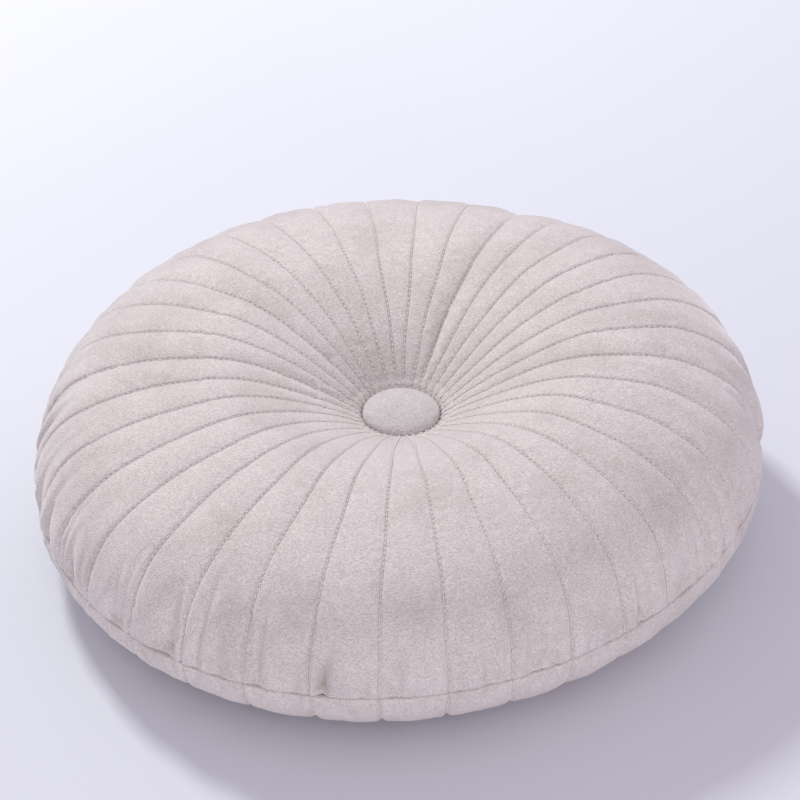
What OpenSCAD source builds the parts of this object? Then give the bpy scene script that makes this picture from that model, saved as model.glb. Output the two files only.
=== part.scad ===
// Round pleated velvet floor cushion, drawn in at the middle by two covered buttons.
// Millimetres. The underside rests on z = 0 and the z axis is the cushion's own axis.

/* [Cushion] */
// Diameter over the velvet at the perimeter seam
cushion_d = 400; // [360:10:450]
// Height of the velvet at the crown of the seat
crown_h = 106; // [96:1:120]
// Radius of the ring where the crown is highest
crown_r = 106; // [95:1:120]
// Height of the perimeter seam above the floor
seam_h = 41; // [36:1:48]
// How square the sides bulge, where 2 is an ellipse
fullness = 2.4; // [2:0.1:3]

/* [Tufting] */
// Height of the velvet under the top button
top_seat_h = 63; // [58:1:68]
// Height of the velvet above the bottom button
bottom_seat_h = 24; // [22:1:26]
// Radius of the flat patch of velvet behind each button
seat_r = 22; // [20:1:26]
// Radius of the needle hole through every layer
needle_hole_r = 4.2; // [4:0.1:6]

/* [Quilting] */
// Number of radial seams on each face
seam_count = 36; // [24:2:40]
// Turn of the first seam from the front of the cushion, in degrees
seam_turn = -3.2; // [-5:0.1:5]
// Width of a line of stitches
stitch_w = 0.6; // [0.4:0.1:0.9]

/* [Layers] */
// Thickness of the velvet
velvet_t = 1.5; // [1:0.1:2]
// Thickness of the wadding quilted to the velvet
wadding_t = 5; // [3:0.5:6]
// Thickness of the lining behind the wadding
lining_t = 0.6; // [0.4:0.1:1]
// Width of the seam allowance turned in at the perimeter
allowance_w = 12; // [10:0.5:14]

/* [Buttons] */
// Diameter of a covered button
button_d = 42; // [38:1:44]
// Height of a covered button
button_h = 9; // [8:0.5:11]
// Thickness of the metal shell and of the back plate
metal_t = 0.6; // [0.5:0.1:0.8]
// Diameter of the wire that makes the shank
wire_d = 1.4; // [1.2:0.1:1.6]
// Diameter of the tufting twine
twine_d = 1.6; // [1.2:0.1:1.8]

/* [Hidden] */
$fn = 96;

rim_r = cushion_d / 2;
ply_gap = 0.15;        // air between two layers that are sewn together
body_gap = 0.3;        // air between the seat's layers and the filling below them
wall_steps = 8;        // points along the wall of a dimple
side_steps = 12;       // points along a quarter of the rounded side

// Depth of each layer's outer face below the skin of the velvet
wadding_depth = velvet_t + ply_gap;
lining_depth = wadding_depth + wadding_t + ply_gap;
filling_depth = lining_depth + lining_t + body_gap;

// The flat ring that the cushion rests on
rest_inner_r = 70;
rest_outer_r = 128;

// Both plies of the perimeter seam allowance, measured from seam_h
ply_bottom = ply_gap;
ply_top = ply_gap + velvet_t;

// Stitches lie this far outside the velvet, and are this thick
stitch_gap = 0.1;
stitch_t = 0.4;
thread_room = ply_top + stitch_gap + stitch_t + ply_gap; // from the seam plane to the layers above and below

// Each line of stitches crosses the resting ring in a groove, clear of the floor
groove_depth = 1;
groove_inner_r = rest_inner_r - 20;
groove_outer_r = rest_outer_r + 30;

// The opening that the filling went in by, closed by hand at the back
opening_angle = 42;
closing_count = 18;
closing_w = 4;         // length of one closing stitch along the seam
closing_r = rim_r - 4; // radius at which it goes through the plies
closing_t = 0.6;       // thickness of its thread

// Button, measured from the plane of its back
button_edge_h = 3.6;   // height of the widest ring of the button
button_lip_r = 15;     // radius where the turned edge becomes flat
button_mouth_r = 13;   // radius of the opening in the back
button_fabric_t = 1.2;
button_fullness = 2.6;
back_plate_r = 16.2;
back_plate_t = 1.2;
button_stand = 0.8;    // gap between the velvet and the button, for the stitches
shank_bend_r = 2.9;    // centreline radius of the bend at the end of the shank
shank_reach = 6.5;     // from the back of the button to the centre of that bend
top_button_z = top_seat_h + button_stand;
bottom_button_z = bottom_seat_h - button_stand;

// The twine is one long link through both shanks
twine_bend_r = 1.7;
twine_gap = 0.2;       // air between the twine and the wire that it pulls on
shank_wire_end = shank_reach + shank_bend_r;
twine_top_z = top_button_z - shank_wire_end + (wire_d + twine_d) / 2 + twine_gap - twine_bend_r;
twine_bottom_z = bottom_button_z + shank_wire_end - (wire_d + twine_d) / 2 - twine_gap + twine_bend_r;
knot_h = 5;
knot_r = 3.5;

// Share of the way from one end of a dimple's wall to the other, steepest by the button
function wall_share(u) = 1 - pow(1 - u, 1.7);

function reversed(points) = [for (i = [len(points) - 1:-1:0]) points[i]];

// Quarter of a rounded side, from its flat end to the perimeter seam.
// rise is its height, negative on the underside.
function side_outline(start_r, start_z, rise, depth) = [
    for (i = [1:side_steps])
        let(a = 90 * i / side_steps)
        [start_r + (rim_r - start_r - depth) * pow(sin(a), 2 / fullness),
         start_z + rise * (1 - pow(cos(a), 2 / fullness))]
];

// Wall of a dimple, from the flat patch behind the button outwards
function wall_outline(end_r, start_z, end_z) = [
    for (i = [0:wall_steps])
        let(u = i / wall_steps)
        [seat_r + (end_r - seat_r) * u, start_z + (end_z - start_z) * wall_share(u)]
];

// Section of the upper skin at a depth inside it, from start_r to the perimeter seam
function top_outline(depth, start_r = needle_hole_r) = concat(
    [[start_r, top_seat_h - depth]],
    wall_outline(crown_r, top_seat_h - depth, crown_h - depth),
    side_outline(crown_r, crown_h - depth, seam_h - crown_h + depth, depth)
);

// Section of the lower skin at a depth inside it, from start_r to the perimeter seam
function bottom_outline(depth, start_r = needle_hole_r) = concat(
    [[start_r, bottom_seat_h + depth]],
    wall_outline(rest_inner_r, bottom_seat_h + depth, depth),
    [[rest_outer_r, depth]],
    side_outline(rest_outer_r, depth, seam_h - depth, depth)
);

// Upper half of a button's section, from the axis to its widest ring
function button_dome(depth) = [
    for (i = [0:side_steps])
        let(a = 90 * i / side_steps)
        [(button_d / 2 - depth) * pow(sin(a), 2 / button_fullness),
         button_edge_h + (button_h - button_edge_h - depth) * pow(cos(a), 2 / button_fullness)]
];

// Turned edge of a button's section, from its widest ring to the mouth in its back
function button_edge(depth) = concat(
    [for (i = [1:side_steps])
        let(a = 90 * i / side_steps)
        [button_lip_r + (button_d / 2 - button_lip_r - depth) * cos(a),
         button_edge_h - (button_edge_h - depth) * sin(a)]],
    [[button_mouth_r, depth]]
);

// Revolved layer of the seat between two depths, above height from_z
module top_layer(depth, thickness, from_z) {
    rotate_extrude()
        intersection() {
            polygon(concat(top_outline(depth), reversed(top_outline(depth + thickness))));
            translate([0, from_z])
                square([rim_r, crown_h]);
        }
}

// Revolved layer of the underside between two depths, below height to_z
module bottom_layer(depth, thickness, to_z) {
    rotate_extrude()
        intersection() {
            polygon(concat(bottom_outline(depth), reversed(bottom_outline(depth + thickness))));
            square([rim_r, to_z]);
        }
}

// One ply of the seam allowance, lying inwards from the perimeter with its lower face at z
module allowance(z) {
    rotate_extrude()
        translate([rim_r - allowance_w, z])
            square([allowance_w - velvet_t / 2, velvet_t]);
}

// Places its child on every closing stitch, with x along the seam and z up
module closing_places() {
    for (i = [0.5:closing_count])
        rotate([0, 0, -opening_angle / 2 + i * opening_angle / closing_count])
            translate([0, closing_r, seam_h])
                children();
}

// Holes where the closing stitches cross the two plies
module closing_holes() {
    closing_places()
        for (side = [-1, 1])
            translate([side * (closing_w - closing_t) / 2, 0, -ply_top - 1])
                cylinder(r = closing_t, h = 2 * ply_top + 2, $fn = 24);
}

module top_cover() {
    color("seashell")
        difference() {
            union() {
                top_layer(0, velvet_t, seam_h + ply_bottom);
                allowance(seam_h + ply_bottom);
            }
            closing_holes();
        }
}

module bottom_cover() {
    color("linen")
        difference() {
            union() {
                bottom_layer(0, velvet_t, seam_h - ply_bottom);
                allowance(seam_h - ply_top);
            }
            closing_holes();
            radial_seams()
                translate([groove_inner_r, -groove_depth, -stitch_w])
                    cube([groove_outer_r - groove_inner_r, 2 * groove_depth, 2 * stitch_w]);
        }
}

module top_wadding() {
    color("white")
        top_layer(wadding_depth, wadding_t, seam_h + thread_room);
}

module bottom_wadding() {
    color("white")
        bottom_layer(wadding_depth, wadding_t, seam_h - thread_room);
}

module top_lining() {
    color("lightsteelblue")
        top_layer(lining_depth, lining_t, seam_h + thread_room);
}

module bottom_lining() {
    color("lightsteelblue")
        bottom_layer(lining_depth, lining_t, seam_h - thread_room);
}

// Loose fibre, with a groove around its rim for the seam allowance
module fibre_filling() {
    groove_h = 2 * (ply_top + stitch_gap + stitch_t + body_gap);
    color("ghostwhite")
        rotate_extrude()
            difference() {
                polygon(concat(top_outline(filling_depth), reversed(bottom_outline(filling_depth))));
                translate([rim_r - allowance_w - stitch_t - stitch_gap - body_gap, seam_h - groove_h / 2])
                    square([allowance_w, groove_h]);
            }
}

// Overlocking that wraps the raw edges of both plies, all the way round but for the opening
module perimeter_seam_thread() {
    inner_r = rim_r - allowance_w - stitch_gap;
    half_h = ply_top + stitch_gap;
    color("gainsboro")
        rotate([0, 0, 90 + opening_angle / 2])
            rotate_extrude(angle = 360 - opening_angle)
                difference() {
                    translate([inner_r - stitch_t, seam_h - half_h - stitch_t])
                        square([4, 2 * (half_h + stitch_t)]);
                    translate([inner_r, seam_h - half_h])
                        square([4, 2 * half_h]);
                }
}

// Loops of thread round both plies, over the stretch that the overlocking leaves open
module closing_stitches() {
    inner_h = 2 * (ply_top + stitch_gap);
    color("gainsboro")
        closing_places()
            rotate([90, 0, 0])
                linear_extrude(closing_t, center = true)
                    difference() {
                        square([closing_w, inner_h + 2 * stitch_t], center = true);
                        square([closing_w - 2 * closing_t, inner_h], center = true);
                    }
}

// Places its child, drawn in the plane of a section, on every radial seam
module radial_seams() {
    for (i = [0:seam_count - 1])
        rotate([0, 0, seam_turn - 90 + i * 360 / seam_count])
            rotate([90, 0, 0])
                children();
}

module top_quilting_thread() {
    color("white")
        radial_seams()
            linear_extrude(stitch_w, center = true)
                intersection() {
                    polygon(concat(top_outline(-stitch_gap - stitch_t, 9),
                                   reversed(top_outline(-stitch_gap, 9))));
                    translate([0, seam_h + 1])
                        square([cushion_d, crown_h]);
                }
}

module bottom_quilting_thread() {
    lower = [for (p = bottom_outline(-stitch_gap - stitch_t, 9)) [p.x, max(p.y, stitch_gap)]];
    upper = [for (p = bottom_outline(-stitch_gap, 9)) [p.x, max(p.y, stitch_gap + stitch_t)]];
    color("white")
        radial_seams()
            linear_extrude(stitch_w, center = true)
                intersection() {
                    polygon(concat(lower, reversed(upper)));
                    square([cushion_d, seam_h - 1]);
                }
}

// Stands its child, drawn with its back at z = 0, on the velvet behind the top button
module at_top() {
    translate([0, 0, top_button_z])
        children();
}

// The same below the underside, turned over
module at_bottom() {
    translate([0, 0, bottom_button_z])
        mirror([0, 0, 1])
            children();
}

// Revolved skin of a button between two depths
module button_skin(depth, thickness) {
    rotate_extrude()
        polygon(concat(button_dome(depth), button_edge(depth),
                       reversed(button_edge(depth + thickness)),
                       reversed(button_dome(depth + thickness))));
}

module button_fabric() {
    button_skin(0, button_fabric_t);
}

module button_shell() {
    button_skin(button_fabric_t + stitch_gap, metal_t);
}

// Plate that lies on the turned lip of the shell, drilled for the two legs of the shank
module button_back() {
    plate_z = button_fabric_t + 2 * stitch_gap + metal_t;
    difference() {
        translate([0, 0, plate_z])
            cylinder(r = back_plate_r, h = back_plate_t);
        for (side = [-1, 1])
            translate([side * shank_bend_r, 0, 0])
                cylinder(d = wire_d + 0.1, h = button_h);
    }
}

// Wire loop below the plate, its ends bent outwards and lying on the plate
module button_shank() {
    plate_top = button_fabric_t + 2 * stitch_gap + metal_t + back_plate_t;
    foot_z = plate_top + wire_d / 2 + stitch_gap;
    union() {
        for (side = [-1, 1]) {
            translate([side * shank_bend_r, 0, -shank_reach])
                cylinder(d = wire_d, h = shank_reach + foot_z, $fn = 32);
            translate([side * shank_bend_r, 0, foot_z])
                sphere(d = wire_d, $fn = 32);
            translate([side * shank_bend_r, 0, foot_z])
                rotate([0, side * 90, 0])
                    cylinder(d = wire_d, h = 5, $fn = 32);
        }
        translate([0, 0, -shank_reach])
            rotate([-90, 0, 0])
                rotate_extrude(angle = 180)
                    translate([shank_bend_r, 0])
                        circle(d = wire_d, $fn = 32);
    }
}

module top_button_fabric() { color("antiquewhite") at_top() button_fabric(); }
module top_button_shell() { color("silver") at_top() button_shell(); }
module top_button_back() { color("silver") at_top() button_back(); }
module top_button_shank() { color("dimgray") at_top() button_shank(); }
module bottom_button_fabric() { color("antiquewhite") at_bottom() button_fabric(); }
module bottom_button_shell() { color("silver") at_bottom() button_shell(); }
module bottom_button_back() { color("silver") at_bottom() button_back(); }
module bottom_button_shank() { color("dimgray") at_bottom() button_shank(); }

// One closed link of twine that hooks both shanks, square to their wire
module tufting_twine() {
    color("burlywood")
        union() {
            for (side = [-1, 1])
                translate([0, side * twine_bend_r, twine_bottom_z])
                    cylinder(d = twine_d, h = twine_top_z - twine_bottom_z, $fn = 32);
            translate([0, 0, twine_top_z])
                rotate([90, 0, 90])
                    twine_bend();
            translate([0, 0, twine_bottom_z])
                rotate([-90, 0, 90])
                    twine_bend();
        }
}

module twine_bend() {
    rotate_extrude(angle = 180)
        translate([twine_bend_r, 0])
            circle(d = twine_d, $fn = 32);
}

// Knot halfway along the twine, with a bore for each of its two runs
module tufting_knot() {
    mid_z = (twine_top_z + twine_bottom_z) / 2;
    color("tan")
        difference() {
            translate([0, 0, mid_z - knot_h / 2])
                cylinder(r = knot_r, h = knot_h);
            for (side = [-1, 1])
                translate([0, side * twine_bend_r, mid_z - knot_h])
                    cylinder(d = twine_d + 0.1, h = 2 * knot_h, $fn = 32);
        }
}

top_cover();
top_wadding();
top_lining();
bottom_cover();
bottom_wadding();
bottom_lining();
fibre_filling();
perimeter_seam_thread();
closing_stitches();
top_quilting_thread();
bottom_quilting_thread();
top_button_fabric();
top_button_shell();
top_button_back();
top_button_shank();
bottom_button_fabric();
bottom_button_shell();
bottom_button_back();
bottom_button_shank();
tufting_twine();
tufting_knot();
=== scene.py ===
"""The looks of a round pleated velvet floor cushion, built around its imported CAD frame.

Metres, in the CAD's own frame. Every soft layer is a net of points: its columns run round the
cushion and its rows run from the button out to the perimeter seam. A channel is the strip of
velvet between two radial seams.
"""

import math

import bpy
import numpy as np
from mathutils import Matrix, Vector


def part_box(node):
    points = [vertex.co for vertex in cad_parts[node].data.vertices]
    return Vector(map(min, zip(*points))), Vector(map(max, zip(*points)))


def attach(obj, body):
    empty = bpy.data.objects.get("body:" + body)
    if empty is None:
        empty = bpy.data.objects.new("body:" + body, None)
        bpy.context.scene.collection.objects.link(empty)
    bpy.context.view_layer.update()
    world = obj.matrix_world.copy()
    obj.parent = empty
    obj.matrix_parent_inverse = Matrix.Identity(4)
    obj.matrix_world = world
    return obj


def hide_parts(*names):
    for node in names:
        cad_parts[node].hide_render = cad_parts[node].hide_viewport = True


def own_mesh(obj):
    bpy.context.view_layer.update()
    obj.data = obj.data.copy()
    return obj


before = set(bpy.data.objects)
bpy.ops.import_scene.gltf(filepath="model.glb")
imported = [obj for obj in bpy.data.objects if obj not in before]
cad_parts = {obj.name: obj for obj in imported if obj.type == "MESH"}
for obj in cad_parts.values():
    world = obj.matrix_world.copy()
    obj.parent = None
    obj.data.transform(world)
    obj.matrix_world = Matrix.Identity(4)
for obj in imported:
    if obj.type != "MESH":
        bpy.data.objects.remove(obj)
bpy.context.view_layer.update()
MM = 0.001
rng = np.random.default_rng(36)

# ---------------------------------------------------------------- sizes from the frame

BUTTON_STAND = 0.8 * MM           # gap between a button's back and the velvet behind it
BUTTON_NAP = 1.6 * MM             # the button's nap stands this far over the CAD's cloth
TOP_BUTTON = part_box("top_button_fabric")
BOTTOM_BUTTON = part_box("bottom_button_fabric")
RIM_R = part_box("top_cover")[1].x
CROWN_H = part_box("top_cover")[1].z
SEAM_H = (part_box("perimeter_seam_thread")[0].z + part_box("perimeter_seam_thread")[1].z) / 2
TOP_SEAT_H = TOP_BUTTON[0].z - BUTTON_STAND
BOTTOM_SEAT_H = BOTTOM_BUTTON[1].z + BUTTON_STAND
BUTTON_R = (TOP_BUTTON[1].x - TOP_BUTTON[0].x) / 2
BUTTON_H = TOP_BUTTON[1].z - TOP_BUTTON[0].z + BUTTON_NAP

# ---------------------------------------------------------------- the cushion's shape

SEAMS = 36
SEAM_TURN = math.radians(-3.2)    # first top seam, from the front of the cushion
UNDER_TURN = math.radians(-3.0)   # first seam of the underside, sewn a little out of line
INNER_R = 9 * MM                  # edge of the velvet round the needle hole
SEAT_R = 18.5 * MM                # flat patch of velvet behind the button
HUG_R = BUTTON_R + 1.4 * MM       # the velvet climbs beside the button to here, then fans out
EDGE_RISE = 6 * MM                # height that it climbs beside the button, from its back
CROWN_R = 106 * MM                # radius of the highest ring of the top
REST_INNER_R = 70 * MM            # the underside lies on the floor from here
REST_OUTER_R = 126 * MM           # out to here
FULLNESS = 2.4                    # roundness of the side: 2 is an ellipse, more is squarer
WALL_CURVE = 1.7                  # curve of the dimple's wall: 1 is a straight cone
SEAM_INSET = 0.3 * MM             # the perimeter seam lies this far inside the bulge
TUCK_START = 1.25                 # angle round the side's curve where it starts to turn in to the seam

# Hand stuffing leaves the cushion a little out of round: (times round, share, azimuth of the peak)
GIRTH_WAVES = ((1, 0.020, 186), (2, 0.017, 69), (3, 0.015, -5), (4, 0.007, 4))
HEIGHT_WAVES = ((1, 0.090, 33), (2, 0.026, 3), (3, 0.027, 28))
EVEN_R = 150 * MM                 # the unevenness grows from the button out to here

CLOTH_COLUMNS = 14                # columns of a channel's net while it is simulated
CLOTH_ROWS = 84

VELVET_T = 1.5 * MM
PLY_GAP = 0.15 * MM
LINING_DEPTH = 6.8 * MM           # of the lining's outer face under the smooth skin
LINING_T = 0.6 * MM
FILLING_DEPTH = 7.7 * MM
ALLOWANCE_W = 11 * MM
ROWS_SHORT = 4                    # the layers inside stop this many rows short of the perimeter seam
SEAM_SWAY = 0.5 * MM              # how far a seam wanders from a true line


def uneven(azimuth, waves):
    """1 with slow waves round the cushion."""
    return 1 + sum(share * np.cos(n * (azimuth - math.radians(peak))) for n, share, peak in waves)


def resample(points, count):
    """The same line with evenly spaced points."""
    length = np.concatenate([[0], np.cumsum(np.linalg.norm(np.diff(points, axis=0), axis=1))])
    along = np.linspace(0, length[-1], count)
    return np.stack([np.interp(along, length, points[:, i]) for i in range(2)], axis=1)


def section(seat_h, edge_h, crown_r, crown_h, shoulder_r):
    """Section of a skin: behind the button, up beside it, up the dimple's wall and over to the seam."""
    u = np.linspace(0, 1, 60)
    wall_r = HUG_R + (crown_r - HUG_R) * u
    wall_z = edge_h + (crown_h - edge_h) * (1 - (1 - u) ** WALL_CURVE)
    a = np.linspace(0, math.pi / 2, 90)
    side_r = shoulder_r + (RIM_R - shoulder_r) * np.sin(a) ** (2 / FULLNESS)
    side_z = crown_h + (SEAM_H - crown_h) * (1 - np.cos(a) ** (2 / FULLNESS))
    tuck = np.clip((a - TUCK_START) / (math.pi / 2 - TUCK_START), 0, 1) ** 2
    side_r = side_r - SEAM_INSET * tuck
    line = np.stack([np.concatenate([[INNER_R, SEAT_R], wall_r, side_r]),
                     np.concatenate([[seat_h, seat_h], wall_z, side_z])], axis=1)
    return resample(line, CLOTH_ROWS)


def sway(columns, radius):
    """How far each column turns aside at each row, because no seam is sewn quite straight."""
    along = np.linspace(0, 1, len(radius))
    waves = [np.sin(2 * math.pi * (n * along + rng.uniform(0, 1, (SEAMS, 1)))) for n in (1, 2.3, 4.1)]
    seams = SEAM_SWAY / np.sqrt(len(waves)) * sum(waves) / radius
    share = np.arange(columns) * SEAMS / columns
    before = share.astype(int)
    part = (share - before)[:, None]
    return seams[before] * (1 - part) + seams[(before + 1) % SEAMS] * part


def net(outline, columns, turn):
    """A smooth net: the outline swept round the axis, with the cushion's own unevenness."""
    r, z = outline[:, 0], outline[:, 1]
    azimuth = turn - math.pi / 2 + 2 * math.pi * np.arange(columns)[:, None] / columns
    azimuth = azimuth + sway(columns, r)
    reach = np.clip((r - SEAT_R) / (EVEN_R - SEAT_R), 0, 1)
    radius = r * (1 + (uneven(azimuth, GIRTH_WAVES) - 1) * reach)
    height = z * (1 + (uneven(azimuth, HEIGHT_WAVES) - 1) * reach)
    return np.stack([radius * np.cos(azimuth), radius * np.sin(azimuth), height], axis=-1)


def normals(points, up):
    """Outward normals of a net, up for the top skin and down for the underside."""
    round_ = np.roll(points, -1, axis=0) - np.roll(points, 1, axis=0)
    out = np.gradient(points, axis=1)
    n = np.cross(out, round_) * (1 if up else -1)
    return n / np.maximum(np.linalg.norm(n, axis=-1, keepdims=True), 1e-12)


# ---------------------------------------------------------------- cloth

CLOTH_FRAMES = 6
CLOTH_REACH = 6 * MM              # no point of the cloth moves further than this
MOST_SLACK, LEAST_SLACK = 0.07, 0.003   # share by which the cloth is too large for its place
TAUTNESS = 0.93                   # of the skin as a whole, where 1 has the least slack
GATHER_SLACK = 0.7                # how much less taut the cloth is at the perimeter seam
UNREST = 0.1                      # how much its tautness varies from place to place
CROWN_FADE_W = 12 * MM            # it grows fully taut over this width, just inside the crown
HELD_R = BUTTON_R + 1.5 * MM      # the cloth is held still under and beside the button
FIRST_PUFF = 0.25 * MM            # rise of a channel before the pressure acts
FIRST_PUFF_UNREST = 0.12 * MM

SEAM_DEPTH = 0.6 * MM             # the radial seams are sewn this far below the skin
BUTTON_SEAM_DEPTH = 0.4 * MM      # the same beside the button
FULL_DEPTH_R = 70 * MM            # the depth has changed from one to the other by this radius
SIDE_PULL = 2.1 * MM              # the seams are drawn in deeper by this on the side,
SIDE_PULL_PLACE = 23 * MM         # most of all at this distance from the perimeter seam,
SIDE_PULL_W = 24 * MM             # fading out over this distance on both sides
# Top seams that are sewn deeper still, numbered round from SEAM_TURN
DEEP_SEAMS = {16: 2.6 * MM, 27: 1.4 * MM, 28: 0.8 * MM, 24: 1.0 * MM, 21: 0.7 * MM, 9: 0.6 * MM}
DEEP_SEAM_W = 0.6                 # a deep seam draws down this share of the channels beside it
DEEP_SEAM_START = 25 * MM         # it reaches its depth this far out from the button,
DEEP_SEAM_END = 60 * MM           # and keeps it up to this distance from the perimeter seam
DITCH_DEPTH = 0.8 * MM            # what each line of stitches bites in besides
DITCH_W = 0.52 * MM
DITCH_CHANNEL_W = 12 * MM         # the ditch is shallower where the channels are narrower than this
DITCH_LEAST = 0.3                 # but never under this share of its depth
CROWDING = 0.65                   # how far the columns are drawn to the seams: 0 is even spacing

# Gathers: least and most in each channel, and the least and most of each measure
GATHER_BAND = 62 * MM             # the cloth is slacker within this distance of the perimeter seam
GATHER_COUNT = (3, 5)
GATHER_W = (2.0 * MM, 4.6 * MM)
GATHER_LEAN = 4 * MM              # most that its upper end lies to one side
# A negative depth is a fold that stands out
TOP_GATHERS = {"length": (26 * MM, 80 * MM), "depth": (0.6 * MM, 4.4 * MM)}
UNDER_GATHERS = {"length": (12 * MM, 30 * MM), "depth": (-0.5 * MM, 1.6 * MM)}
GATHER_EDGE = 4 * MM              # they flatten out within this distance of the perimeter seam,
GATHER_EDGE_SHARE = 0.25          # to this share of their depth


def net_faces(columns, rows, closed_rows=False):
    """Quads of a net that closes round its columns, and round its rows too if asked."""
    c = np.arange(columns)[:, None]
    r = np.arange(rows if closed_rows else rows - 1)[None, :]
    here, next_c, next_r = c * rows, (c + 1) % columns * rows, (r + 1) % rows
    quads = np.stack([here + r, here + next_r, next_c + next_r, next_c + r], axis=-1)
    return quads.reshape(-1, 4).tolist()


def mesh_piece(name, vertices, faces, smooth=True):
    """A new mesh object from an array of points and a list of faces."""
    mesh = bpy.data.meshes.new(name)
    mesh.from_pydata(np.reshape(vertices, (-1, 3)).tolist(), [], faces)
    mesh.polygons.foreach_set("use_smooth", [smooth] * len(mesh.polygons))
    mesh.update()
    piece = bpy.data.objects.new(name, mesh)
    bpy.context.scene.collection.objects.link(piece)
    return piece


def rim_distance(points):
    """Distance of each point of a net along its column, from the perimeter seam."""
    step = np.linalg.norm(np.diff(points, axis=1), axis=-1)
    distance = np.concatenate([np.zeros((len(points), 1)), np.cumsum(step, axis=1)], axis=1)
    return distance[:, -1:] - distance


def slow_noise(columns, rows, waves=9):
    """Smooth seeded noise over a net, between about -1 and 1, that joins up round the columns."""
    c = 2 * math.pi * np.arange(columns)[:, None] / columns
    r = np.linspace(0, 1, rows)[None, :]
    total = np.zeros((columns, rows))
    for _ in range(waves):
        times_round = rng.integers(5, 60)
        total += np.sin(times_round * c + rng.uniform(3, 16) * r + rng.uniform(0, 2 * math.pi))
    return total / math.sqrt(waves)


def seam_depth(radius, to_rim, up):
    """How far each point of a net would lie below the smooth skin, if it were on a seam."""
    full = np.clip(radius / FULL_DEPTH_R, 0, 1) ** 2
    depth = BUTTON_SEAM_DEPTH + (SEAM_DEPTH - BUTTON_SEAM_DEPTH) * full
    depth = depth + SIDE_PULL * np.exp(-(((to_rim - SIDE_PULL_PLACE) / SIDE_PULL_W) ** 2))
    middle = np.clip((radius - HUG_R) / DEEP_SEAM_START, 0, 1) * np.clip(to_rim / DEEP_SEAM_END, 0, 1)
    channel = np.arange(len(radius))[:, None] / CLOTH_COLUMNS
    for seam, extra in (DEEP_SEAMS if up else {}).items():
        away = np.abs((channel - seam + SEAMS / 2) % SEAMS - SEAMS / 2)
        depth = depth + extra * np.clip(1 - away / DEEP_SEAM_W, 0, 1) ** 2 * middle
    return depth


def blow(start, pinned, taut, up):
    """Where a cloth ends up after a few frames of pressure from inside, pinned where it is sewn."""
    columns, rows = start.shape[:2]
    piece = mesh_piece("cloth", start, net_faces(columns, rows))
    if not up:
        piece.data.flip_normals()
    index = np.arange(columns * rows).reshape(columns, rows)
    piece.vertex_groups.new(name="sewn").add(index[pinned].tolist(), 1.0, "REPLACE")
    tautness = piece.vertex_groups.new(name="tautness")
    levels = 20
    for level in range(levels + 1):
        members = index[np.round(taut * levels) == level]
        tautness.add(members.tolist(), level / levels, "REPLACE")

    modifier = piece.modifiers.new("cloth", "CLOTH")
    cloth = modifier.settings
    cloth.vertex_group_mass = "sewn"
    cloth.vertex_group_shrink = "tautness"
    cloth.shrink_min, cloth.shrink_max = -MOST_SLACK, -LEAST_SLACK
    cloth.quality = 6
    cloth.mass = 0.01
    cloth.tension_stiffness = cloth.compression_stiffness = 15
    cloth.shear_stiffness = 5
    cloth.bending_stiffness = 0.01
    cloth.tension_damping = cloth.compression_damping = cloth.shear_damping = 0.1
    cloth.bending_damping = cloth.air_damping = 0
    cloth.use_pressure = True
    cloth.uniform_pressure_force = 400
    cloth.effector_weights.gravity = 0
    modifier.collision_settings.use_collision = False
    modifier.point_cache.frame_start, modifier.point_cache.frame_end = 1, CLOTH_FRAMES
    for step in range(1, CLOTH_FRAMES + 1):
        bpy.context.scene.frame_set(step)
    evaluated = piece.evaluated_get(bpy.context.evaluated_depsgraph_get())
    blown = np.empty(columns * rows * 3, np.float32)
    evaluated.data.vertices.foreach_get("co", blown)
    bpy.data.objects.remove(piece)
    bpy.context.scene.frame_set(1)
    return blown.astype(float).reshape(start.shape)


def puff(points, up):
    """The net with its channels blown up: cloth held along every seam, with slack and pressure."""
    columns, rows = points.shape[:2]
    outward = normals(points, up)
    arch = np.sin(math.pi * (np.arange(columns) % CLOTH_COLUMNS) / CLOTH_COLUMNS)[:, None]
    to_rim = rim_distance(points)
    radius = np.linalg.norm(points[..., :2], axis=-1)
    held = radius[0] < HELD_R
    gather = np.clip(1 - to_rim / GATHER_BAND, 0, 1)
    unrest = slow_noise(columns, rows)
    start = points - outward * seam_depth(radius, to_rim, up)[..., None]
    start += outward * (arch * (FIRST_PUFF + FIRST_PUFF_UNREST * gather * unrest) * ~held)[..., None]

    pinned = np.zeros((columns, rows), bool)
    pinned[::CLOTH_COLUMNS] = True
    pinned[:, held] = True
    pinned[:, -1] = True
    taut = np.clip(TAUTNESS - GATHER_SLACK * gather + UNREST * unrest, 0, 1)
    taut += (1 - taut) * np.clip((CROWN_R - radius) / CROWN_FADE_W, 0, 1)
    moved = blow(start, pinned, taut, up) - start
    far = np.linalg.norm(moved, axis=-1, keepdims=True)
    return start + moved * np.minimum(1, CLOTH_REACH / np.maximum(far, 1e-9))


def halve(values, axis):
    """The values with a smooth new one between each two, along an axis that doesn't close."""
    v = np.moveaxis(values, axis, 0)
    middle = (v[:-1] + v[1:]) / 2
    middle[1:-1] = (9 * (v[1:-2] + v[2:-1]) - v[:-3] - v[3:]) / 16
    out = np.empty((2 * len(v) - 1,) + v.shape[1:])
    out[::2], out[1::2] = v, middle
    return np.moveaxis(out, 0, axis)


def refine(points):
    """The net at twice the density, with each channel curved smoothly and the seams kept sharp."""
    columns, rows = points.shape[:2]
    channels = points.reshape(SEAMS, -1, rows, 3)
    channels = np.concatenate([channels, np.roll(channels[:, :1], -1, axis=0)], axis=1)
    fine = halve(halve(channels, 1)[:, :-1], 2)
    return fine.reshape(-1, fine.shape[2], 3)


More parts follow.
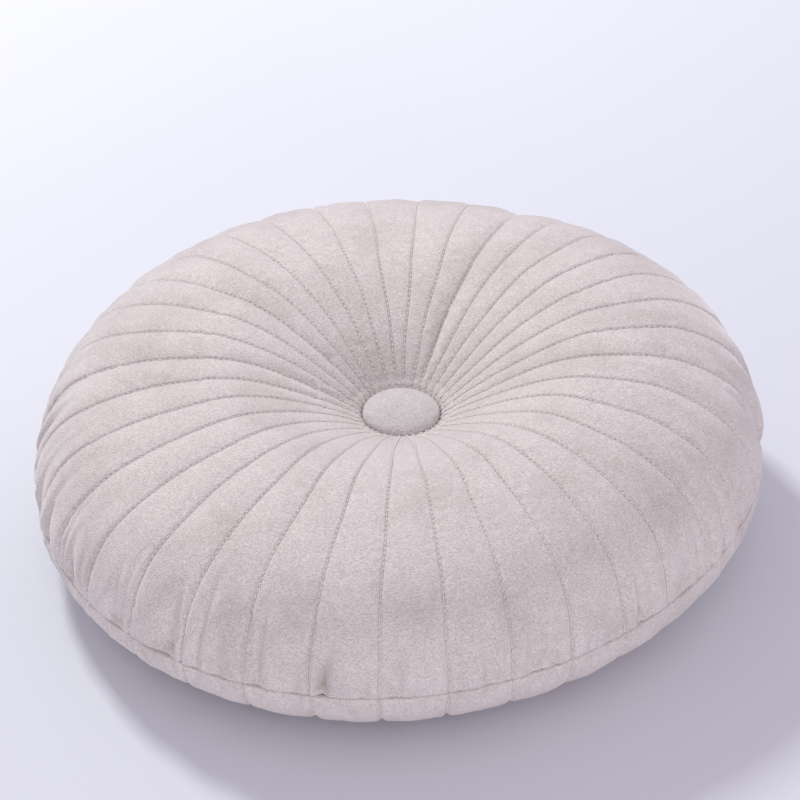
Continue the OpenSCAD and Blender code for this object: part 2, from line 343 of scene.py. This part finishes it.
def crowded(count):
    """Places across a channel, closer together beside the seams."""
    even = np.arange(count) / count
    return (1 - CROWDING) * even + CROWDING * (1 - np.cos(math.pi * even)) / 2


def crowd(points):
    """The net with its columns moved closer to the seams, where the detail is."""
    per_channel = len(points) // SEAMS
    place = (np.arange(SEAMS)[:, None] + crowded(per_channel)).ravel() * per_channel
    before = place.astype(int)
    part = (place - before)[:, None, None]
    return points[before] * (1 - part) + points[(before + 1) % len(points)] * part


def bite(points, up):
    """The net with a narrow ditch along every line of stitches."""
    across = np.tile(crowded(len(points) // SEAMS), SEAMS)
    width = 2 * math.pi * np.linalg.norm(points[..., :2], axis=-1) / SEAMS
    from_seam = np.minimum(across, 1 - across)[:, None] * width
    depth = DITCH_DEPTH * np.clip(width / DITCH_CHANNEL_W, DITCH_LEAST, 1)
    depth = depth * np.exp(-((from_seam / DITCH_W) ** 2))
    return points - normals(points, up) * depth[..., None]


def gathered(points, up):
    """The net with small folds that run up from the perimeter seam between the radial seams."""
    measures = TOP_GATHERS if up else UNDER_GATHERS
    to_rim = rim_distance(points)
    radius = np.linalg.norm(points[..., :2], axis=-1)
    per_channel = len(points) // SEAMS
    turn = (np.arange(SEAMS)[:, None] + crowded(per_channel)).reshape(-1, 1) / SEAMS
    near_seam = np.clip(to_rim / GATHER_EDGE, GATHER_EDGE_SHARE, 1)
    depth = np.zeros(radius.shape)
    for channel in range(SEAMS):
        for _ in range(rng.integers(GATHER_COUNT[0], GATHER_COUNT[1] + 1)):
            where = (channel + rng.uniform(0.1, 0.9)) / SEAMS
            length = rng.uniform(*measures["length"])
            width = rng.uniform(*GATHER_W)
            lean = rng.uniform(-GATHER_LEAN, GATHER_LEAN) / radius / (2 * math.pi)
            along = np.clip(to_rim / length, 0, 1)
            away = (turn - where - lean * along + 0.5) % 1 - 0.5
            fold = np.exp(-((away * 2 * math.pi * radius / width) ** 2))
            fade = (1 - along) ** 2 * (1 + 2 * along)
            depth += rng.uniform(*measures["depth"]) * fold * fade * near_seam
    return points - normals(points, up) * depth[..., None]


def velvet_net(outline, turn, up):
    """The outer face of one cover, from the needle hole to the perimeter seam."""
    smooth = net(outline, SEAMS * CLOTH_COLUMNS, turn)
    blown = bite(gathered(crowd(refine(puff(smooth, up))), up), up)
    if not up:
        blown[..., 2] = np.maximum(blown[..., 2], 0)
    return smooth, blown


def with_allowance(points, up):
    """The net carried on past the perimeter seam into the seam allowance inside."""
    seam = points[:, -1:]
    inwards = -seam / np.linalg.norm(seam[..., :2], axis=-1, keepdims=True)
    inwards[..., 2] = 0
    seam = seam + [0, 0, PLY_GAP if up else -PLY_GAP]
    reach = np.linspace(0, ALLOWANCE_W, 6)[None, :, None]
    return np.concatenate([points[:, :-1], seam + inwards * reach], axis=1)


def layer(name, outer, inner):
    """A closed piece between two nets of the same size."""
    loop = np.concatenate([outer, inner[:, ::-1]], axis=1)
    return mesh_piece(name, loop, net_faces(loop.shape[0], loop.shape[1], closed_rows=True))


def smooth_normals(points, up, times=2):
    """Normals of a net, evened out so that a layer offset along them doesn't fold."""
    n = normals(points, up)
    for _ in range(times):
        n = n + np.roll(n, 1, axis=0) + np.roll(n, -1, axis=0)
        n[:, 1:-1] += n[:, :-2] + n[:, 2:]
        n /= np.linalg.norm(n, axis=-1, keepdims=True)
    return n


def skin(side):
    """One side of the cushion: its cloth layers as a dict, the velvet's face, and the filling's face."""
    up = side == "top"
    if up:
        button_edge = TOP_BUTTON[0].z + EDGE_RISE
        outline = section(TOP_SEAT_H, button_edge, CROWN_R, CROWN_H, CROWN_R)
        smooth, velvet = velvet_net(outline, SEAM_TURN, up)
    else:
        button_edge = BOTTOM_BUTTON[1].z - EDGE_RISE
        outline = section(BOTTOM_SEAT_H, button_edge, REST_INNER_R, 0, REST_OUTER_R)
        smooth, velvet = velvet_net(outline, UNDER_TURN, up)
    end = CLOTH_ROWS - ROWS_SHORT
    outward = normals(smooth, up)

    def below(depth):
        return (smooth - outward * depth)[:, :end]

    whole = with_allowance(velvet, up)
    coarse = velvet[::2, ::2]
    under_velvet = (coarse - smooth_normals(coarse, up) * (VELVET_T + PLY_GAP))[:, :end]
    velvet_back = whole - smooth_normals(whole, up) * VELVET_T
    pieces = {
        f"{side}_cover": layer(f"{side}_velvet", whole, velvet_back),
        f"{side}_wadding": layer(f"{side}_quilt_wadding", under_velvet, below(LINING_DEPTH - PLY_GAP)),
        f"{side}_lining": layer(f"{side}_quilt_lining", below(LINING_DEPTH),
                                below(LINING_DEPTH + LINING_T)),
    }
    return pieces, velvet, below(FILLING_DEPTH)


# ---------------------------------------------------------------- threads

STITCH_PITCH = 3.2 * MM
STITCH_LENGTH = 2.6 * MM
STITCH_RISE = 1.0 * MM            # how far the middle of a stitch stands over its ends
STITCH_SINK = 0.2 * MM            # how far its ends go into the cloth
THREAD_R = 0.36 * MM
STITCH_SWELL = np.array([0.75, 1.0, 1.05, 1.0, 0.75])   # a stitch's thickness along it, of the thread's
STITCH_UNEVEN = 0.06 * MM         # spread of the stitches' places
STITCH_SLANT = 0.09 * MM          # spread of their slant
STITCH_START_R = 13 * MM          # the lines of stitches start here, under the button
CLOSING_COUNT = 18
CLOSING_ANGLE = math.radians(42)  # the filling opening at the back, sewn up by hand
CLOSING_LOOP_R = 2.0 * MM
CLOSING_INSET = 1.5 * MM          # the middle of the loops lies this far inside the perimeter seam
CLOSING_LEAN = 0.004              # angle round the cushion that a loop leans over
CLOSING_THREAD_R = 0.28 * MM
OVERLOCK_TURNS = 320
OVERLOCK_STEPS = 9                # points in each turn
OVERLOCK_LOOP_R = 2.0 * MM
OVERLOCK_INSET = 1.5 * MM         # the middle of the turns lies this far from the raw edges
OVERLOCK_THREAD_R = 0.25 * MM
TWINE_PLY_R = 0.42 * MM
TWINE_PLY_APART = 0.95 * TWINE_PLY_R    # from the twine's middle: the plies are pressed together
TWINE_TWISTS = 14
KNOT_TURNS = 3
KNOT_X, KNOT_Y = 1.75 * MM, 2.7 * MM    # radii of its turns, round both runs of twine
KNOT_TWINE_R = 0.8 * MM
KNOT_TAIL = np.array([4.5, 0.6, -1.6]) * MM


def tubes(name, lines, side, radius, sides=6, closed=False):
    """One mesh of round tubes along lines of points. Side is a direction across each line."""
    lines, side = np.broadcast_arrays(lines, side)
    if closed:
        along = np.roll(lines, -1, axis=1) - np.roll(lines, 1, axis=1)
    else:
        along = np.gradient(lines, axis=1)
    first = np.cross(along, side)
    first /= np.linalg.norm(first, axis=-1, keepdims=True)
    second = np.cross(along, first)
    second /= np.linalg.norm(second, axis=-1, keepdims=True)
    angle = 2 * math.pi * np.arange(sides) / sides
    ring = first[:, :, None] * np.cos(angle)[:, None] + second[:, :, None] * np.sin(angle)[:, None]
    radius = np.broadcast_to(radius, lines.shape[1])[:, None, None]
    points = lines[:, :, None] + ring * radius
    count, steps = lines.shape[:2]
    step = np.arange(steps if closed else steps - 1)[:, None]
    side_here = np.arange(sides)[None, :]
    side_next = (side_here + 1) % sides
    here, after = step * sides, (step + 1) % steps * sides
    quads = np.stack([here + side_here, here + side_next, after + side_next, after + side_here], axis=-1)
    quads = quads.reshape(-1, 4)
    faces = []
    for i in range(count):
        first_point = i * steps * sides
        faces += (quads + first_point).tolist()
        if not closed:
            faces.append((first_point + np.arange(sides)[::-1]).tolist())
            faces.append((first_point + (steps - 1) * sides + np.arange(sides)).tolist())
    return mesh_piece(name, points, faces)


def stitched_seams(name, velvet, up):
    """Every stitch of one side's radial seams, each a short length of thread pulled in at its ends."""
    per_channel = len(velvet) // SEAMS
    outward = normals(velvet, up)[::per_channel]
    seams = velvet[::per_channel]
    half = seams.shape[1] // 2        # the radius grows all along this first half of a seam
    part = np.linspace(-1, 1, len(STITCH_SWELL))
    lines, sides = [], []
    for seam, away in zip(seams, outward):
        length = np.concatenate([[0], np.cumsum(np.linalg.norm(np.diff(seam, axis=0), axis=1))])
        radius = np.linalg.norm(seam[:, :2], axis=1)
        start = np.interp(STITCH_START_R, radius[:half], length[:half])
        middles = np.arange(start, length[-1] - STITCH_PITCH, STITCH_PITCH)
        middles = middles + rng.normal(0, STITCH_UNEVEN, len(middles))
        at = middles[:, None] + part * STITCH_LENGTH / 2
        here = np.stack([np.interp(at, length, seam[:, i]) for i in range(3)], axis=-1)
        over = np.stack([np.interp(middles, length, away[:, i]) for i in range(3)], axis=-1)
        along = here[:, -1] - here[:, 0]
        across = np.cross(along, over)
        across /= np.linalg.norm(across, axis=-1, keepdims=True)
        slant = rng.normal(0, STITCH_SLANT, len(middles))[:, None] * part
        rise = STITCH_RISE * (1 - part ** 4) - STITCH_SINK
        lines.append(here + over[:, None] * rise[:, None] + across[:, None] * slant[..., None])
        sides.append(across)
    lines, sides = np.concatenate(lines), np.concatenate(sides)
    return tubes(name, lines, sides[:, None], THREAD_R * STITCH_SWELL)


def seam_edge(top_velvet, under_velvet, azimuth):
    """Radius and height of the perimeter seam at each azimuth."""
    last = (top_velvet[:, -1] + under_velvet[:, -1]) / 2
    angle = np.arctan2(last[:, 1], last[:, 0]) % (2 * math.pi)
    order = np.argsort(angle)
    where = azimuth % (2 * math.pi)
    radius = np.interp(where, angle[order], np.hypot(last[:, 0], last[:, 1])[order], period=2 * math.pi)
    return radius, np.interp(where, angle[order], last[order, 2], period=2 * math.pi)


def overlock(top_velvet, under_velvet):
    """Thread wound over the two raw edges inside, all the way but for the filling opening."""
    share = np.linspace(0, 1, OVERLOCK_TURNS * OVERLOCK_STEPS)
    azimuth = math.pi / 2 + CLOSING_ANGLE / 2 + share * (2 * math.pi - CLOSING_ANGLE)
    seam_r, seam_z = seam_edge(top_velvet, under_velvet, azimuth)
    turn = 2 * math.pi * np.arange(len(azimuth)) / OVERLOCK_STEPS
    radius = seam_r - ALLOWANCE_W + OVERLOCK_INSET + OVERLOCK_LOOP_R * np.cos(turn)
    height = seam_z + OVERLOCK_LOOP_R * np.sin(turn)
    line = np.stack([radius * np.cos(azimuth), radius * np.sin(azimuth), height], axis=-1)
    return tubes("perimeter_overlock", line[None], [0, 0, 1], OVERLOCK_THREAD_R, sides=5)


def hand_stitches(top_velvet, under_velvet):
    """Small, squarish loops that close the filling opening."""
    places = (np.arange(CLOSING_COUNT) + 0.5) / CLOSING_COUNT - 0.5
    azimuth = math.pi / 2 + places * CLOSING_ANGLE
    seam_r, seam_z = seam_edge(top_velvet, under_velvet, azimuth)
    turn = 2 * math.pi * np.arange(24) / 24
    out, up = (np.sign(wave) * np.sqrt(np.abs(wave)) for wave in (np.cos(turn), np.sin(turn)))
    radius = (seam_r - CLOSING_INSET)[:, None] + CLOSING_LOOP_R * out
    height = seam_z[:, None] + CLOSING_LOOP_R * up
    lean = azimuth[:, None] + CLOSING_LEAN * up
    lines = np.stack([radius * np.cos(lean), radius * np.sin(lean), height], axis=-1)
    across = np.stack([-np.sin(azimuth), np.cos(azimuth), 0 * azimuth], axis=-1)
    return tubes("closing_thread", lines, across[:, None], CLOSING_THREAD_R, closed=True)


def twine_path(count):
    """Centreline of the twine's link, and its direction outward, in the plane across the shanks."""
    low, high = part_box("tufting_twine")
    thickness = (high.x - low.x) / 2
    bend_r = high.y - thickness
    straight = high.z - low.z - 2 * high.y
    turn = math.pi * bend_r
    length = 2 * straight + 2 * turn
    along = np.arange(count) / count * length
    top, bottom = high.z - high.y, low.z + high.y
    stretches = [along < straight, along < straight + turn, along < 2 * straight + turn]
    zero = 0 * along
    angle = np.select(stretches, [zero, (along - straight) / bend_r, zero + math.pi],
                      math.pi + (along - 2 * straight - turn) / bend_r)
    centre_z = np.select(stretches, [bottom + along, zero + top, top - (along - straight - turn)], bottom)
    outward = np.stack([zero, np.cos(angle), np.sin(angle)], axis=-1)
    return outward * bend_r + np.stack([zero, zero, centre_z], axis=-1), outward


def twine():
    """The two-ply twine that ties the two shanks together through the filling."""
    line, outward = twine_path(320)
    twist = 2 * math.pi * TWINE_TWISTS * np.arange(len(line)) / len(line)
    sideways = np.array([1, 0, 0])
    plies = []
    for ply in (0, math.pi):
        angle = (twist + ply)[:, None]
        plies.append(line + (outward * np.cos(angle) + sideways * np.sin(angle)) * TWINE_PLY_APART)
    return tubes("tufting_twine_plies", np.array(plies), outward, TWINE_PLY_R, sides=8, closed=True)


def knot():
    """Three turns of twine drawn tight round both runs, with two short tails."""
    low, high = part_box("tufting_knot")
    middle = (low.z + high.z) / 2
    turn = np.linspace(0, 2 * math.pi * KNOT_TURNS, 40 * KNOT_TURNS)
    climb = high.z - low.z - 2 * KNOT_TWINE_R - 0.1 * MM
    wraps = np.stack([KNOT_X * np.cos(turn), KNOT_Y * np.sin(turn),
                      middle + climb * (turn / turn[-1] - 0.5)], axis=-1)
    tail = np.linspace(0.2, 1, 8)[:, None] * KNOT_TAIL
    line = np.concatenate([(wraps[0] - tail * [-1, 1, 1])[::-1], wraps, wraps[-1] + tail])
    return tubes("tufting_knot_turns", line[None], [0, 0, 1], KNOT_TWINE_R, sides=10)


# ---------------------------------------------------------------- buttons

BUTTON_COLUMNS = 288
BUTTON_CLOTH_T = 1.1 * MM
BUTTON_WIDEST = 4.8 * MM          # height of the button's widest point over its back
BUTTON_TURN_R = 3.2 * MM          # how far in the cloth has turned when it reaches the back
BUTTON_LIP_R = 16.7 * MM          # the cloth is turned under as far as this
BUTTON_BACK_GAP = 0.35 * MM       # the cloth's inner face stops this far in front of the back
CRIMP_DEPTH = 0.28 * MM           # of the small crimps where the cloth is gathered under
CRIMP_TIMES = (23, 31, 38, 47, 56)
PULL_TIMES = (3, 5, 7)            # slow waves where the cloth is drawn unevenly over the edge
PULL_IN, PULL_UP = 0.12 * MM, 0.16 * MM


def button(name, back_z, side):
    """Cloth drawn over a domed shell and turned under it in small crimps."""
    dome = np.linspace(0.004, math.pi / 2, 46)
    under = np.linspace(0, math.pi / 2, 16)[1:]
    radius = np.concatenate([BUTTON_R * np.sin(dome) ** 0.9,
                             BUTTON_R - BUTTON_TURN_R * (1 - np.cos(under)), [BUTTON_LIP_R]])
    height = np.concatenate([BUTTON_WIDEST + (BUTTON_H - BUTTON_WIDEST) * np.cos(dome) ** 0.86,
                             BUTTON_WIDEST * (1 - np.sin(under)), [0]])
    azimuth = 2 * math.pi * np.arange(BUTTON_COLUMNS)[:, None] / BUTTON_COLUMNS
    crimps = [rng.uniform(0.3, 1) * np.sin(n * azimuth + rng.uniform(0, 6)) for n in CRIMP_TIMES]
    low_down = np.clip((BUTTON_WIDEST + 1.2 * MM - height) / (4 * MM), 0, 1)
    low_down = low_down * np.clip(radius / BUTTON_R, 0, 1)
    pulls = [np.sin(n * azimuth + rng.uniform(0, 6)) for n in PULL_TIMES]
    near_edge = np.exp(-((radius - 0.86 * BUTTON_R) / (0.13 * BUTTON_R)) ** 2)
    pull = sum(pulls) / len(pulls) * near_edge
    r = radius - CRIMP_DEPTH * sum(crimps) / 2 * low_down - PULL_IN * pull
    z = height + PULL_UP * pull * (height > BUTTON_WIDEST)
    outer = np.stack([r * np.cos(azimuth), r * np.sin(azimuth), z], axis=-1)
    steepness = np.sin(np.minimum(radius / BUTTON_R, 1) * math.pi / 2)
    inner_r = np.maximum(radius - BUTTON_CLOTH_T * steepness, 0.02 * MM)
    upward = np.clip((height - BUTTON_WIDEST) / (BUTTON_H - BUTTON_WIDEST), -1, 1)
    inner_z = np.maximum(height - BUTTON_CLOTH_T * upward, BUTTON_BACK_GAP)
    inner_r[-1] = BUTTON_LIP_R
    inner = np.stack([inner_r * np.cos(azimuth), inner_r * np.sin(azimuth),
                      np.broadcast_to(inner_z, (BUTTON_COLUMNS, len(inner_z)))], axis=-1)
    for face in (outer, inner):
        face[..., 2] = back_z + side * face[..., 2]
    piece = layer(name, outer, inner)
    if side < 0:
        piece.data.flip_normals()
    return piece


# ---------------------------------------------------------------- materials

def linear(red, green, blue):
    """A colour given in 0-255 display values, as scene-linear RGBA."""
    return tuple(((v / 255 + 0.055) / 1.055) ** 2.4 for v in (red, green, blue)) + (1,)


class Material:
    """A node material under construction. Its methods add nodes and return what to use next."""

    def __init__(self, name, **shader):
        self.material = bpy.data.materials.new(name)
        self.material.use_nodes = True
        self.nodes = self.material.node_tree.nodes
        self.links = self.material.node_tree.links
        self.shader = self.nodes["Principled BSDF"]
        for socket, value in shader.items():
            self.shader.inputs[socket.replace("_", " ")].default_value = value
        self.place = self.nodes.new("ShaderNodeTexCoord").outputs["Object"]

    def set(self, socket, value):
        """Links an output to the socket, or gives the socket a plain value."""
        if isinstance(value, bpy.types.NodeSocket):
            self.links.new(value, socket)
        else:
            socket.default_value = value

    def feed(self, node, **inputs):
        """The node, with its named inputs set."""
        for name, value in inputs.items():
            self.set(node.inputs[name.replace("_", " ")], value)
        return node

    def noise(self, size, detail=2.0, stretch=None):
        """Noise with features about as wide as size, in metres."""
        place = self.place
        if stretch:
            mapping = self.feed(self.nodes.new("ShaderNodeMapping"), Vector=place)
            mapping.inputs["Scale"].default_value = stretch
            place = mapping.outputs[0]
        node = self.feed(self.nodes.new("ShaderNodeTexNoise"), Vector=place, Scale=1 / size, Detail=detail)
        return node.outputs["Fac"]

    def ramp(self, value, low, high, out_low=0.0, out_high=1.0):
        """A smooth step from one level to another as the value goes from low to high."""
        node = self.feed(self.nodes.new("ShaderNodeMapRange"), Value=value, From_Min=low, From_Max=high,
                         To_Min=out_low, To_Max=out_high)
        node.interpolation_type = "SMOOTHSTEP"
        return node.outputs[0]

    def blend(self, share, first, second, how="MIX"):
        """The first colour, with the second mixed or multiplied in by a share."""
        node = self.nodes.new("ShaderNodeMix")
        node.data_type, node.blend_type = "RGBA", how
        for socket, value in ((0, share), (6, first), (7, second)):
            self.set(node.inputs[socket], value)
        return node.outputs[2]

    def bump(self, height, strength, distance, under=None):
        """A bumped normal, over another one if given."""
        node = self.feed(self.nodes.new("ShaderNodeBump"), Height=height, Strength=strength,
                         Distance=distance)
        if under:
            self.links.new(under, node.inputs["Normal"])
        return node.outputs[0]

    def finish(self, colour=None, normal=None, roughness=None):
        """The material, with its shader's inputs linked."""
        for socket, value in (("Base Color", colour), ("Normal", normal), ("Roughness", roughness)):
            if value is not None:
                self.links.new(value, self.shader.inputs[socket])
        return self.material


def velvet(name, light, dark, patches):
    """Short cut pile: brushed patches, a fine mottle, and the grain of the pile itself."""
    m = Material(name, Roughness=0.92, Specular_IOR_Level=0.12, Sheen_Weight=1.0, Sheen_Roughness=0.4,
                 Sheen_Tint=linear(252, 246, 246))
    brushed = m.ramp(m.noise(38 * MM, detail=4.0), 0.42, 0.72, 0, patches)
    colour = m.blend(brushed, light, dark)
    weft = m.noise(0.7 * MM, detail=2.0, stretch=(0.5, 1, 1))
    grain = m.blend(m.ramp(weft, 0.32, 0.68), (0.83, 0.82, 0.82, 1), (1.11, 1.11, 1.11, 1))
    colour = m.blend(1.0, colour, grain, "MULTIPLY")
    blotch = m.ramp(m.noise(6 * MM, detail=4.0), 0.3, 0.7)
    mottle = m.blend(blotch, (0.965, 0.96, 0.96, 1), (1.02, 1.02, 1.02, 1))
    colour = m.blend(1.0, colour, mottle, "MULTIPLY")
    nap = m.bump(m.noise(3.5 * MM, detail=3.0), 0.3, 0.5 * MM)
    pile = m.bump(weft, 1.0, 0.45 * MM, nap)
    return m.finish(colour, pile)


def fibre(name, light, dark, size, depth):
    """Matted fibre: wadding or loose filling."""
    m = Material(name, Roughness=0.95, Sheen_Weight=0.3, Subsurface_Weight=0.1)
    tangle = m.noise(size, detail=8.0, stretch=(1, 1, 2.5))
    colour = m.blend(m.ramp(tangle, 0.35, 0.65), dark, light)
    return m.finish(colour, m.bump(tangle, 0.8, depth))


def weave(name, colour, pitch):
    """Plain woven cotton, with its two sets of threads."""
    m = Material(name, Roughness=0.85, Sheen_Weight=0.1)
    bands = []
    for direction in ("X", "Y"):
        wave = m.feed(m.nodes.new("ShaderNodeTexWave"), Vector=m.place, Scale=0.05 / pitch, Distortion=0.4)
        wave.bands_direction = direction
        bands.append(wave.outputs["Fac"])
    cloth = m.blend(0.5, bands[0], bands[1])
    slubs = m.ramp(m.noise(3 * MM, detail=4.0), 0.3, 0.7)
    tone = m.blend(slubs, tuple(0.86 * c for c in colour[:3]) + (1,), colour)
    return m.finish(tone, m.bump(cloth, 0.5, 0.15 * MM))


def spun(name, colour, pitch, sheen=0.2):
    """Twisted thread or twine."""
    m = Material(name, Roughness=0.6, Sheen_Weight=sheen)
    fuzz = m.noise(pitch, detail=4.0)
    tone = m.blend(m.ramp(fuzz, 0.3, 0.7), tuple(0.84 * c for c in colour[:3]) + (1,), colour)
    return m.finish(tone, m.bump(fuzz, 0.5, pitch / 3))


def metal(name, colour, roughness, stretch):
    """Drawn or pressed metal with fine directional marks."""
    m = Material(name, Metallic=1.0)
    marks = m.noise(0.6 * MM, detail=5.0, stretch=stretch)
    tone = m.blend(m.ramp(m.noise(6 * MM), 0.3, 0.7), tuple(0.85 * c for c in colour[:3]) + (1,), colour)
    shine = m.ramp(marks, 0.3, 0.7, roughness, roughness + 0.15)
    return m.finish(tone, m.bump(marks, 0.15, 0.05 * MM), shine)


# ---------------------------------------------------------------- the scene

CAMERA_ELEVATION = math.radians(36.17)
CAMERA_DISTANCE = 1.926
CAMERA_TARGET = Vector((-0.00065, 0, 0.0772))

scene = bpy.context.scene
scene.view_settings.view_transform = "Standard"
camera = bpy.data.objects.new("camera", bpy.data.cameras.new("camera"))
camera.data.lens = 160
camera.data.sensor_width = 36
back = Vector((0, -math.cos(CAMERA_ELEVATION), math.sin(CAMERA_ELEVATION)))
camera.location = CAMERA_TARGET + back * CAMERA_DISTANCE
camera.rotation_euler = back.to_track_quat("Z", "Y").to_euler()
scene.collection.objects.link(camera)
scene.camera = camera


def area_light(name, direction, distance, size, power, colour):
    """A rectangular light, size wide and high, that faces the cushion from a direction."""
    lamp = bpy.data.lights.new(name, "AREA")
    lamp.shape = "RECTANGLE"
    lamp.size, lamp.size_y = size
    lamp.energy = power
    lamp.color = colour
    piece = bpy.data.objects.new(name, lamp)
    away = Vector(direction).normalized()
    piece.location = away * distance
    piece.rotation_euler = away.to_track_quat("Z", "Y").to_euler()
    scene.collection.objects.link(piece)


def soft_world(bright_side, weak, strong, colour):
    """Soft light from all round, strongest from the bright side and weakest opposite it."""
    world = bpy.data.worlds.new("studio")
    world.use_nodes = True
    nodes, links = world.node_tree.nodes, world.node_tree.links
    facing = nodes.new("ShaderNodeVectorMath")
    facing.operation = "DOT_PRODUCT"
    facing.inputs[1].default_value = bright_side
    level = nodes.new("ShaderNodeMapRange")
    for socket, value in (("From Min", -1), ("From Max", 1), ("To Min", weak), ("To Max", strong)):
        level.inputs[socket].default_value = value
    nodes["Background"].inputs["Color"].default_value = colour
    links.new(nodes.new("ShaderNodeTexCoord").outputs["Generated"], facing.inputs[0])
    links.new(facing.outputs["Value"], level.inputs["Value"])
    links.new(level.outputs[0], nodes["Background"].inputs["Strength"])
    return world


area_light("key_light", direction=(-0.40, 0.66, 0.67), distance=2.4, size=(0.36, 0.36), power=33,
           colour=(0.94, 0.98, 0.955))
area_light("low_fill", direction=(0.18, -1.0, 0.14), distance=2.6, size=(2.4, 0.5), power=15,
           colour=(1.0, 0.95, 0.95))
scene.world = soft_world(bright_side=(0.4, 0.9, 0), weak=0.42, strong=0.80,
                         colour=(0.96, 0.875, 0.985, 1))

floor_material = Material("studio_floor", Roughness=0.8, Specular_IOR_Level=0.2)
floor_tone = floor_material.blend(floor_material.ramp(floor_material.noise(700 * MM), 0.3, 0.7),
                                  (0.785, 0.81, 0.88, 1), (0.815, 0.84, 0.91, 1))
floor_corners = [(-6, -6, 0), (6, -6, 0), (6, 9, 0), (-6, 9, 0)]
floor = mesh_piece("studio_floor", floor_corners, [(0, 1, 2, 3)], smooth=False)
floor.data.materials.append(floor_material.finish(floor_tone))

# ---------------------------------------------------------------- the pieces

FILL = 0.8                        # how tightly the soft pieces are stuffed, where 1 is full

VELVET = velvet("velvet", linear(231, 225, 221), linear(212, 203, 199), 0.55)
BUTTON_VELVET = velvet("button_velvet", linear(221, 217, 216), linear(205, 200, 200), 0.5)
WADDING = fibre("wadding", linear(240, 239, 234), linear(214, 212, 206), 4 * MM, 1.2 * MM)
FILLING = fibre("filling", linear(246, 246, 243), linear(218, 218, 214), 7 * MM, 2.5 * MM)
LINING = weave("lining", linear(232, 228, 219), 0.7 * MM)
THREAD = spun("thread", linear(250, 246, 242), 0.5 * MM, 0.4)
TWINE = spun("twine", linear(205, 186, 152), 0.6 * MM)
ALUMINIUM = metal("button_metal", (0.80, 0.81, 0.83, 1), 0.35, (1, 1, 1))
WIRE = metal("shank_wire", (0.50, 0.51, 0.53, 1), 0.25, (1, 1, 0.1))
SKIN_LAYERS = {"cover": ("velvet", VELVET), "wadding": ("wadding", WADDING), "lining": ("lining", LINING)}
BUTTON_PARTS = {"shell": ALUMINIUM, "back": ALUMINIUM, "shank": WIRE}


def place(piece, node, body, material, slot, squashed=True, fill=None):
    """Puts a finished piece on its body, in place of its CAD node."""
    piece.data.materials.append(material)
    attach(piece, body)
    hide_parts(node)
    if squashed:
        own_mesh(piece)


top_pieces, top_velvet, top_inside = skin("top")
under_pieces, under_velvet, under_inside = skin("bottom")
for body, pieces in (("seat_top", top_pieces), ("base", under_pieces)):
    for node, piece in pieces.items():
        slot, material = SKIN_LAYERS[node.split("_")[1]]
        place(piece, node, body, material, slot, fill=FILL)
filling = layer("fibre_fill", top_inside, under_inside)
place(filling, "fibre_filling", "base", FILLING, "filling", fill=FILL)
for side, body, face in (("top", "seat_top", top_velvet), ("bottom", "base", under_velvet)):
    stitches = stitched_seams(f"{side}_stitches", face, side == "top")
    place(stitches, f"{side}_quilting_thread", body, THREAD, "thread")
place(overlock(top_velvet, under_velvet), "perimeter_seam_thread", "base", THREAD, "thread")
place(hand_stitches(top_velvet, under_velvet), "closing_stitches", "base", THREAD, "thread")
place(twine(), "tufting_twine", "base", TWINE, "twine")
place(knot(), "tufting_knot", "base", TWINE, "twine")
for body, back_z, side in (("top_button", TOP_BUTTON[0].z, 1), ("bottom_button", BOTTOM_BUTTON[1].z, -1)):
    place(button(f"{body}_cloth", back_z, side), f"{body}_fabric", body, BUTTON_VELVET, "button_velvet",
          squashed=False)
    for part, material in BUTTON_PARTS.items():
        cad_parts[f"{body}_{part}"].material_slots[0].material = material
